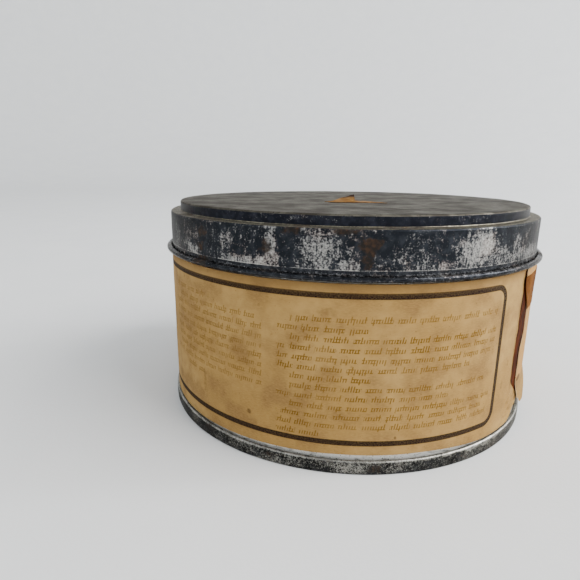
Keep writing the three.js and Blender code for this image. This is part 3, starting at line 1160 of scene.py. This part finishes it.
@dataclass
class TinBody:
    """Rolled and seamed body, its double-seamed bottom end and the seam's compound."""

    sizes: TinSizes
    rim_curl: float = 1.25
    hook_overlap: float = 1.6
    compound_height: float = 0.3
    foot_bend: float = 0.35
    recess: float = 3.6
    border: float = 9.8
    panel_step: float = 0.6
    lock_angle: float = 61.0
    lock_width: float = 3.6
    steps: int = 288

    def wall_outline(self) -> list[Vector]:
        """Both faces of the body wall, from its foot hook to its rolled rim."""
        s = self.sizes
        gap = s.fold - s.sheet
        centre = 1.5 * s.sheet + gap + s.fold
        tip = s.seam_height - s.sheet - self.compound_height - 3 * gap
        roll = (self.rim_curl - s.sheet) / 2
        middle = [
            Vector((s.body_middle + 2 * s.fold, tip)),
            *bend((s.body_middle + s.fold, centre), (s.fold, s.fold), 0, -180, 30),
            *bend((s.body_middle - roll, s.rim_height - self.rim_curl / 2), (roll, roll), 0, 285, 20),
        ]
        return sheet_outline(even_steps(middle, 2.5), s.sheet)

    def add_side_seam(self, bm: Mesh) -> None:
        """Adds the flattened folds of the side seam inside the wall."""
        s = self.sizes
        foot = self.recess + s.sheet + self.panel_step
        top = s.rim_height - self.rim_curl - s.sheet
        depth = 3.5 * s.sheet
        made = bmesh.ops.create_cube(bm, size=1)
        bmesh.ops.scale(bm, vec=(self.lock_width, depth, top - foot), verts=made["verts"])
        spot = around(s.body_radius - 4 * s.sheet + depth / 2, 0, (foot + top) / 2)
        bmesh.ops.translate(bm, vec=spot, verts=made["verts"])
        turn = Matrix.Rotation(math.radians(self.lock_angle), 3, "Z")
        bmesh.ops.rotate(bm, cent=(0, 0, 0), matrix=turn, verts=made["verts"])
        upright = {
            edge
            for vert in made["verts"]
            for edge in vert.link_edges
            if abs(edge.verts[0].co.z - edge.verts[1].co.z) > 1
        }
        bmesh.ops.bevel(
            bm, geom=list(upright), offset=0.22, affect="EDGES", segments=3, profile=0.5,
            material=-1,
        )

    def end_outline(self) -> list[Vector]:
        """Both faces of the bottom end, from the middle of its panel to its cover hook."""
        s = self.sizes
        panel = self.recess + s.sheet / 2
        chuck_wall = s.body_middle - s.fold
        ring = chuck_wall - self.border
        outer = s.body_middle + 3 * s.fold
        bow = self.foot_bend - s.sheet / 2
        hook = max(3 * s.sheet + 2 * (s.fold - s.sheet), s.seam_height - 2 * s.fold - self.hook_overlap)
        cap = s.seam_height - s.sheet / 2 - s.fold
        middle = [
            Vector((0, panel + self.panel_step)),
            *bend((ring - 1.2, panel + self.panel_step - 0.6), (0.6, 0.6), 90, 45, 15),
            *bend((ring - 0.2, panel + 0.6), (0.6, 0.6), 225, 270, 15),
            *bend((chuck_wall - bow, panel - bow), (bow, bow), 90, 0, 30),
            *bend((chuck_wall + bow, self.foot_bend), (bow, bow), 180, 270, 22.5),
            *bend((outer - bow, self.foot_bend), (bow, bow), 270, 360, 15),
            Vector((outer + 0.05, s.seam_height * 0.45)),
            *bend((outer - s.fold, cap), (s.fold, s.fold), 0, 180, 15),
            Vector((outer - 2 * s.fold, hook)),
        ]
        return sheet_outline(even_steps(middle, 1.8), s.sheet)

    def build(self) -> list[bpy.types.Object]:
        """The body wall and the bottom end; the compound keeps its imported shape."""
        s = self.sizes
        bright = BrightTinplate().make()
        wall = turned(self.wall_outline(), self.steps)
        self.add_side_seam(wall)
        for face in wall.faces:
            low = face.calc_center_median().z < s.label_foot + 2.5
            face.material_index = int(low and outward(face).x > 0.5)
        # Painted reflection: the bare wall just above the seam gets a pale, dull colour in place of the
        # bright floor that it reflects.
        dull = FloorReflectionTinplate().make()
        body = finish_piece(
            wall, "body_wall", Body.TIN, Slot.BODY, [bright, dull], ["body_shell"]
        )
        end = turned(self.end_outline(), self.steps)
        for vert in end.verts:
            push = 0.03 * ease(53.6, 54.2, math.hypot(vert.co.x, vert.co.y))
            vert.co.xy *= 1 + push * (uneven(*vert.co, 7, 4.4) - 1) / s.seam_radius
        for face in end.faces:
            inside = face.calc_center_median().z > self.recess + 0.1 and outward(face).y > 0.5
            face.material_index = int(inside and face.calc_center_median().xy.length < s.body_radius)
        seam = WornTinplate(
            "scuffed tinplate, double seam", dark="#151617", hazy="#2f3032", grey="#605f5a",
            bare="#b4b2aa", blush="#595650", wear=0.2, streaks=0.0, grain=0.55, rust=-0.05,
            roughness=0.4, radius=54.5,
            worn_patches=(
                # Patch(40, 3.1, ...) along the seam's top on the right is partly wear, partly painted
                # highlight; the others are wear.
                Patch(4, 2.0, 6, 1.0, 0.3), Patch(40, 3.1, 16, 0.5, 0.7),
                Patch(58, 2.2, 10, 1.5, 0.3),
            ),
            rust_spots=(
                Patch(-38, 2.5, 2.2, 1.2, 0.6), Patch(-18, 2.0, 1.8, 1.0, 0.6),
                Patch(9, 1.6, 1.8, 1.2, 0.7), Patch(-3, 3.0, 2, 0.8, 0.5),
                Patch(33, 1.4, 2, 0.8, 0.5), Patch(100, 2, 3, 1.2, 0.7),
                Patch(-120, 2, 4, 1.2, 0.7),
            ),
            # Pale line along the seam's top edge: partly rubbed wear, partly painted highlight.
            edges=((3.35, 0.35),),
        ).make()
        bottom = finish_piece(
            end, "bottom_end_plate", Body.TIN, Slot.SEAM, [seam, bright], ["bottom_end"]
        )
        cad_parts["seam_compound"].data.materials.clear()
        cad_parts["seam_compound"].data.materials.append(SealingCompound().make())
        log.info("seam_compound: packed shape with its own finish")
        return [body, bottom]


# ---- Label ----


@dataclass
class PaperLabel:
    """Wrap-around label, with the dried glue and the old tape on its lapped end.

    The right-hand paper end is the outer one. Its free edge faces the front and has come away.
    """

    sizes: TinSizes
    paper: float = 0.14
    radius: float = 53.95  # outer face of the single layer
    free_edge: float = 57.0
    inner_end: float = 71.5
    cells: tuple[int, int] = (440, 66)
    frame_left: float = -104.0
    frame_right: float = 43.7
    crease: float = 15.1  # height of the fold across the outer end, above its loose corner
    frame_foot: float = 7.8
    frame_top: float = 42.55

    @property
    def span(self) -> float:
        """Degrees from the free edge round to the inner end."""
        return 360 + self.inner_end - self.free_edge

    def travel(self, across: float) -> float:
        """Degrees from the free edge, with finer steps near both ends."""
        return self.span * (across - 0.6 * math.sin(math.tau * across) / math.tau)

    def arc(self, degrees: float) -> float:
        """Length along the label, in millimetres."""
        return math.radians(degrees) * self.radius

    def lifted(self, travel: float, height: float) -> float:
        """How far the outer end stands off the layer below it."""
        lap = 0.2 * (1 - ease(10, 28, travel))
        edge = 0.1 * (1 - ease(0, 4.5, travel))
        pulled = 0.12 * ease(36, 43.5, height) * (1 - ease(12, 24, travel))
        below = min(max((self.crease - height) / 9, 0.0), 1.0)
        drop = 1 - (1 - below) ** 2
        tongue = 1.15 * drop * (1 - ease(13, 22, travel)) * (0.3 + 0.7 * ease(0, 10, travel))
        return lap + edge + pulled + tongue

    def wrinkled(self, angle: float, height: float) -> float:
        """Crumpling of the inner end's bottom corner."""
        window = ease(48, 54, angle) * (1 - ease(9.5, 13, height)) * ease(3.9, 4.7, height)
        slant = 0.8 * height - 0.6 * self.arc(angle - 50)
        waves = math.sin(slant * 2.6 + 1.5 * uneven(angle, height, 0, 3, 1.9))
        return 0.3 * window * (waves - 0.4 * waves * waves)

    def foot(self, travel: float) -> float:
        """Height of the label's bottom edge, with the outer end's corner torn off."""
        torn = (6.6 - self.sizes.label_foot) * (1 - ease(14, 18.5, travel))
        torn += 2.2 * (1 - ease(0, 3, travel))
        jagged = 0.3 * uneven(travel, 0, 0, 0.9, 6.6) + 0.5 * uneven(travel, 0, 0, 3.1, 2.6)
        angle = self.free_edge + travel - 360
        askew = 0.75 * ease(-45, 8, angle) - 1.02 * ease(18, 44, angle)
        askew += 0.06 * uneven(travel, 0, 0, 9, 3.3) + 4.2 * ease(54.5, 64, angle)
        return self.sizes.label_foot + torn + jagged * ease(0, 2, torn) + askew + 0.03

    def point(self, across: float, up: float) -> tuple[float, float, float]:
        """Travel, height and radius of a point of the label's outer face."""
        travel = self.travel(across)
        foot, top = self.foot(travel), self.sizes.label_top - 0.1
        height = foot + (top - foot) * up
        travel += 0.35 * uneven(0, height, 0, 3.5, 7.7) * (1 - ease(0, 3, travel))
        lean = 3.6 * (1 - ease(7, self.crease, height)) + 2.2 * ease(23, 29, height)
        travel += (lean - 5.0 * ease(33, 43, height)) * (1 - ease(0, 12, travel))
        angle = self.free_edge + travel
        loose = 0.05 * uneven(*around(self.radius, angle, height), 16, 1.3)
        radius = self.radius + loose + self.lifted(travel, height)
        if travel > 300:
            radius += self.wrinkled(angle - 360, height) - 0.03
        return travel, height, radius

    def place(self, across: float, up: float) -> Vector:
        """Place of a point of the label's outer face."""
        travel, height, radius = self.point(across, up)
        return around(radius, self.free_edge + travel, height)

    def print_place(self, across: float, up: float) -> Vector:
        """Length along the label from the front, height, and how far the paper's skin is off."""
        travel, height, _ = self.point(across, up)
        bare = (1 - ease(13, 19, travel)) * ease(-0.2, 0.4, height - self.crease)
        return Vector((self.arc(self.free_edge + travel - 360), height, bare))

    def printed(self) -> bpy.types.Material:
        """The label's printed face."""
        middle = self.arc((self.frame_left + self.frame_right) / 2)
        frame_line = PrintedFrame(
            half_width=self.arc((self.frame_right - self.frame_left) / 2),
            middle=(self.frame_foot + self.frame_top) / 2,
            half_height=(self.frame_top - self.frame_foot) / 2,
        )
        main = GreekedText(
            left=self.arc(-16) - middle, width=self.arc(57), top=38.35,
            lines=((0.06, 1), (0, 0.38), (0.06, 1), (0, 1), (0, 1), (0, 0.85), (0.06, 0.4),
                   (0.06, 0.95), (0, 0.75), (0.06, 1), (0, 0.95), (0, 1), (0, 0.2)),
        )
        second = GreekedText(
            left=self.arc(-59) - middle, width=self.arc(39), top=39.6, fade=0.8, seed=40.0,
            lines=((0.05, 0.55), (0.1, 0.95), (0, 1), (0.04, 1), (0, 1), (0.03, 1), (0, 1),
                   (0.05, 1), (0, 1), (0.2, 0.5)),
        )
        third = GreekedText(
            left=self.arc(-98) - middle, width=self.arc(33), top=37.2, seed=80.0, fade=0.9,
            lines=((0, 0.9), (0, 1), (0, 0.97), (0, 0.6), (0.06, 1), (0, 1), (0, 0.92),
                   (0, 1), (0, 0.4), (0.06, 0.85), (0, 0.55)),
        )
        # Stains, except Patch(-300.2, ...), painted shade in the fold across the outer end, and Patch(55.5,
        # 7.5, ...) and Patch(52.5, 6.2, ...), painted shade lines in the inner end's wrinkled bottom corner.
        spots = (
            Patch(53.6, 26, 1.7, 20, 0.5), Patch(-300.2, self.crease - 0.2, 2.0, 0.75, 1.8), Patch(55.5, 7.5, 2.2, 0.5, 0.55),
            Patch(52.5, 6.2, 2.2, 0.4, 0.45), Patch(47.5, 16.5, 0.8, 1.6, 0.45),
            Patch(-23.8, 11.7, 0.7, 0.8, 0.9), Patch(13.6, 9.2, 0.35, 0.45, 0.9),
            Patch(-40.5, 15.5, 0.8, 4.5, 0.5), Patch(-3.5, 38.8, 3.0, 1.4, 0.45),
            Patch(24, 20, 5, 2, 0.35), Patch(3, 14, 4, 3, 0.3), Patch(49.5, 22, 0.6, 1.1, 0.5),
            Patch(-30, 30, 4, 3, 0.3), Patch(46.5, 32, 3, 3, 0.25), Patch(100, 25, 9, 6, 0.4),
            Patch(-150, 18, 8, 9, 0.4), Patch(-230, 30, 7, 6, 0.4),
        )
        return PrintedPaper(
            period=self.arc(180),
            centre=middle,
            frame_line=frame_line,
            texts=(main, second, third),
            spots=tuple(
                Patch(self.arc(s.across), s.up, s.half_width, s.half_height, s.strength)
                for s in spots
            ),
        ).make()

    def glue_place(self, across: float, up: float) -> Vector:
        """Place of a point of the dried glue's face, ragged on its left."""
        height = 7.4 + 37.4 * up
        start = 53.2 + 0.7 * ease(17, 38, height) + 0.5 * uneven(0, height, 0, 2.6, 4.4)
        start += 8.5 * ease(17, 7.5, height)
        angle = start + (max(61.0, start + 0.4) - start) * across
        return around(self.radius + 0.05, angle, height)

    def tape_place(self, across: float, up: float) -> Vector:
        """Place of a point of the tape's face, lying on the outer paper end."""
        height = 34.3 + 9.3 * up + 0.25 * (across - 0.5)
        travel = -0.8 + 14.3 * across
        travel += (2.2 - 5.0 * ease(33, 43, height)) * (1 - ease(0, 12, travel))
        rise = self.lifted(travel, height)
        loose = 0.05 * uneven(*around(self.radius, self.free_edge + travel, height), 16, 1.3)
        return around(self.radius + loose + rise + 0.12, self.free_edge + travel, height)

    def build(self) -> list[bpy.types.Object]:
        """The label, the glue and the tape."""
        paper = thin_sheet(self.cells, self.place, self.paper, self.print_place)
        label = finish_piece(
            paper, "label_wrap", Body.TIN, Slot.LABEL, [self.printed(), RawPaper().make()],
            ["wrap_label"], 50,
        )
        glue_finish = AgedResin(
            "dried gum, varnish-brown", "#4c1f00", "#2c1000", "#170800", 0.85, 2.0, (1, 1, 3)
        ).make()
        glue = finish_piece(
            thin_sheet((14, 110), self.glue_place, 0.05), "lap_glue_film", Body.TIN, Slot.GLUE,
            [glue_finish, glue_finish], ["lap_glue"], 60,
        )
        tape_finish = AgedResin(
            "yellowed cellophane tape", "#583000", "#6f4200", "#2e1700", 0.8, 2.4, (1, 1, 2)
        ).make()
        tape = finish_piece(
            thin_sheet((40, 30), self.tape_place, 0.07), "old_tape_strip", Body.TIN, Slot.TAPE,
            [tape_finish, tape_finish], ["label_tape"], 60,
        )
        return [label, glue, tape]


# ---- Studio ----


@dataclass(frozen=True)
class SoftLight:
    """A large square lamp, in metres and watts."""

    name: str
    spot: tuple[float, float, float]
    size: float
    power: float
    colour: tuple[float, float, float] = (1.0, 1.0, 1.0)
    target: tuple[float, float, float] = (0.0, 0.0, 0.03)

    def place(self) -> None:
        """Adds the lamp."""
        data = bpy.data.lights.new(self.name, "AREA")
        data.shape, data.size, data.energy, data.color = "SQUARE", self.size, self.power, self.colour
        lamp = bpy.data.objects.new(self.name, data)
        lamp.location = self.spot
        aim = Vector(self.target) - Vector(self.spot)
        lamp.rotation_euler = aim.to_track_quat("-Z", "Y").to_euler()
        bpy.context.scene.collection.objects.link(lamp)


@dataclass
class Studio:
    """Pale sweep, soft lights and the camera, in metres and degrees."""

    eye: tuple[float, float, float] = (0.0, -0.150, 0.0685)
    yaw: float = -6.86
    pitch: float = -14.53
    roll: float = 0.54
    lens: float = 29.21
    sweep_radius: float = 1.5

    def add_sweep(self) -> None:
        """A floor that curves up all round into a low wall."""
        bm = bmesh.new()
        line = [Vector((0, 0)), *bend((self.sweep_radius, 0.9), (0.9, 0.9), 270, 360, 6),
                Vector((self.sweep_radius + 0.9, 1.6))]
        verts = [bm.verts.new((0, -point.x, point.y)) for point in even_steps(line, 0.3)]
        edges = [bm.edges.new(pair) for pair in zip(verts, verts[1:])]
        bmesh.ops.spin(
            bm, geom=verts + edges, cent=(0, 0, 0), axis=(0, 0, 1), angle=math.tau, steps=96,
            use_merge=True,
        )
        bmesh.ops.remove_doubles(bm, verts=bm.verts, dist=1e-5)
        bmesh.ops.recalc_face_normals(bm, faces=bm.faces)
        for face in bm.faces:
            face.smooth = True
        mesh = bpy.data.meshes.new("sweep")
        bm.to_mesh(mesh)
        bm.free()
        recipe = Recipe("matt white paper sweep")
        cloth = Grain(0.9, detail=1).value(recipe)
        colour = recipe.coats(linear("#ececeb"), [("#e4e5e5", Grain(40, detail=2).value(recipe))])
        mesh.materials.append(
            recipe.surface(cloth, 0.04, {"Base Color": colour, "Roughness": 0.95})
        )
        sweep = bpy.data.objects.new("sweep", mesh)
        bpy.context.scene.collection.objects.link(sweep)

    def add_camera(self) -> None:
        """The camera, turned by its yaw, pitch and roll."""
        data = bpy.data.cameras.new("camera")
        data.lens, data.sensor_width = self.lens, 36.0
        data.clip_start, data.clip_end = 0.005, 50
        camera = bpy.data.objects.new("camera", data)
        yaw, pitch = math.radians(self.yaw), math.radians(self.pitch)
        forward = Vector(
            (math.sin(yaw) * math.cos(pitch), math.cos(yaw) * math.cos(pitch), math.sin(pitch))
        )
        right = Vector((math.cos(yaw), -math.sin(yaw), 0))
        up = right.cross(forward)
        turn = Matrix((right, up, -forward)).transposed()
        spin = Matrix.Rotation(math.radians(-self.roll), 3, forward)
        camera.matrix_world = Matrix.Translation(self.eye) @ (spin @ turn).to_4x4()
        bpy.context.scene.collection.objects.link(camera)
        bpy.context.scene.camera = camera

    def build(self) -> None:
        """Adds the sweep, the lights, the sky and the camera."""
        self.add_sweep()
        SoftLight("window", (0.9, -0.3, 0.75), 0.9, 20, (1.0, 0.985, 0.965)).place()
        SoftLight("fill", (-0.8, -0.9, 0.9), 1.0, 2, (0.93, 0.97, 1.0)).place()
        SoftLight(
            "backdrop", (2.0, 0.4, 1.2), 0.8, 62, (0.97, 0.985, 1.0), (1.3, 2.2, 0.5)
        ).place()
        world = bpy.data.worlds.new("soft daylight")
        world.use_nodes = True
        sky = world.node_tree.nodes["Background"]
        sky.inputs[0].default_value, sky.inputs[1].default_value = (0.92, 0.96, 1.0, 1.0), 0.9
        bpy.context.scene.world = world
        self.add_camera()


def main() -> None:
    """Builds the tin, its label, its lid and the studio in order."""
    logging.basicConfig(level=logging.INFO, format="%(name)s %(message)s")
    sizes = TinSizes()
    Studio().build()
    TinBody(sizes).build()
    PaperLabel(sizes).build()
    SlipLid(sizes).build()
    LidScrap(sizes).build()
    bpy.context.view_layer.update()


if __name__ == "__main__":
    main()
